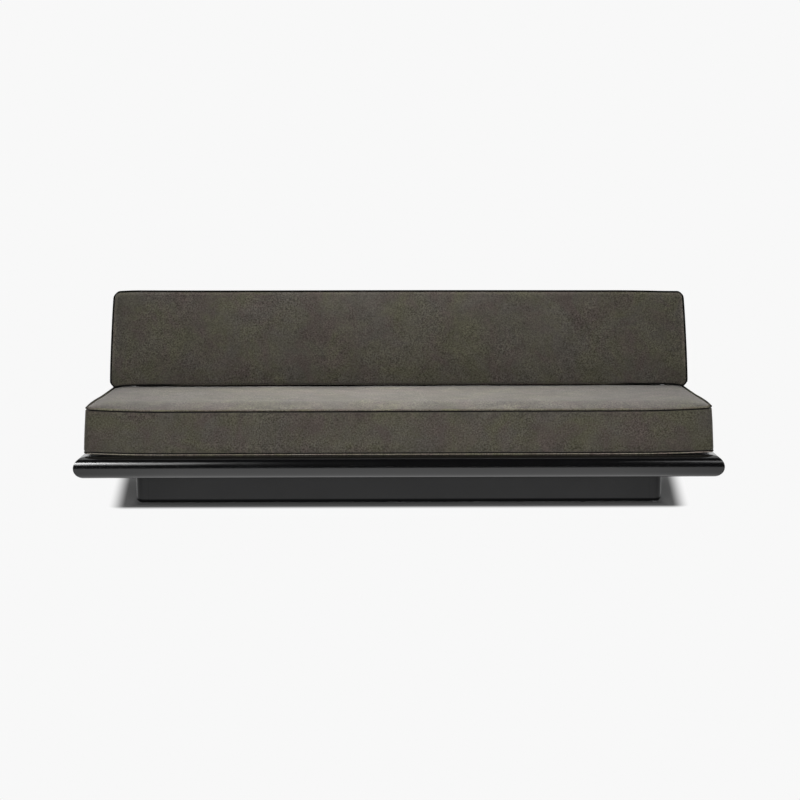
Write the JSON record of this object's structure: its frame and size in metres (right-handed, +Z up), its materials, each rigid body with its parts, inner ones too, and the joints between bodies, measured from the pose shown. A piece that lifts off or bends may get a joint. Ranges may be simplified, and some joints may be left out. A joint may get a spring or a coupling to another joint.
{
  "type": "three-seater sofa",
  "caption": "Low platform sofa: long piped seat cushion and leaning piped back cushion on a black half-round-edged platform over a recessed plinth; the cushions lift off and unzip.",
  "frame": {"origin": "on the floor, under the middle of the platform", "axes": "+X along the sofa to the viewer's right, -Y out of the front, +Z up"},
  "size_m": [2.402, 0.96, 0.7766],
  "materials": {
    "black_lacquer": "gloss",
    "softwood": "matte",
    "black_steel": "satin",
    "glide_nylon": "matte",
    "taupe_velvet": "matte",
    "piping_velvet": "matte",
    "cushion_foam": "matte",
    "zip_tape": "matte",
    "zip_metal": "satin"
  },
  "bodies": {
    "base": {"plinth_front_board": "black_lacquer", "plinth_back_board": "black_lacquer", "plinth_left_board": "black_lacquer", "plinth_right_board": "black_lacquer", "plinth_post_front_left": "black_lacquer", "plinth_post_front_right": "black_lacquer", "plinth_post_back_left": "black_lacquer", "plinth_post_back_right": "black_lacquer", "plinth_front_cleat": "softwood", "plinth_back_cleat": "softwood", "plinth_brace_1": "softwood", "plinth_brace_2": "softwood", "plinth_brace_3": "softwood", "floor_glide_front_left": "glide_nylon", "floor_glide_front_middle": "glide_nylon", "floor_glide_front_right": "glide_nylon", "floor_glide_back_left": "glide_nylon", "floor_glide_back_middle": "glide_nylon", "floor_glide_back_right": "glide_nylon", "platform_front_rail": "black_lacquer", "platform_back_rail": "black_lacquer", "platform_left_rail": "black_lacquer", "platform_right_rail": "black_lacquer", "deck_panel": "black_lacquer", "soffit_panel": "black_lacquer", "platform_rib_1": "softwood", "platform_rib_2": "softwood", "platform_rib_3": "softwood", "platform_rib_4": "softwood", "corner_block_front_left": "softwood", "corner_block_front_right": "softwood", "corner_block_back_left": "softwood", "corner_block_back_right": "softwood", "platform_bolt_front_1": "black_steel", "platform_bolt_front_2": "black_steel", "platform_bolt_front_3": "black_steel", "platform_bolt_front_4": "black_steel", "platform_bolt_back_1": "black_steel", "platform_bolt_back_2": "black_steel", "platform_bolt_back_3": "black_steel", "platform_bolt_back_4": "black_steel", "back_panel": "black_lacquer", "back_bracket_1": "black_steel", "back_bracket_2": "black_steel", "back_bracket_3": "black_steel", "back_bracket_4": "black_steel"},
    "seat_cushion": {"seat_cover": "taupe_velvet", "seat_foam_core": "cushion_foam", "seat_piping_top": "piping_velvet", "seat_piping_bottom": "piping_velvet", "seat_zip": "zip_tape"},
    "seat_zip_runner": {"seat_zip_slider": "zip_metal"},
    "back_cushion": {"back_cover": "taupe_velvet", "back_foam_core": "cushion_foam", "back_piping_front": "piping_velvet", "back_piping_rear": "piping_velvet", "back_zip": "zip_tape"},
    "back_zip_runner": {"back_zip_slider": "zip_metal"}
  },
  "joints": [
    {"name": "seat_cushion_lift", "type": "slide", "parent": "base", "child": "seat_cushion", "axis": [0, 0, 1], "range_m": [0, 0.3]},
    {"name": "back_cushion_lift", "type": "slide", "parent": "seat_cushion", "child": "back_cushion", "axis": [0, 0, 1], "range_m": [0, 0.35]},
    {"name": "seat_zip_slide", "type": "slide", "parent": "seat_cushion", "child": "seat_zip_runner", "axis": [1, 0, 0], "range_m": [0, 1.85]},
    {"name": "back_zip_slide", "type": "slide", "parent": "back_cushion", "child": "back_zip_runner", "axis": [1, 0, 0], "range_m": [0, 1.75]}
  ]
}
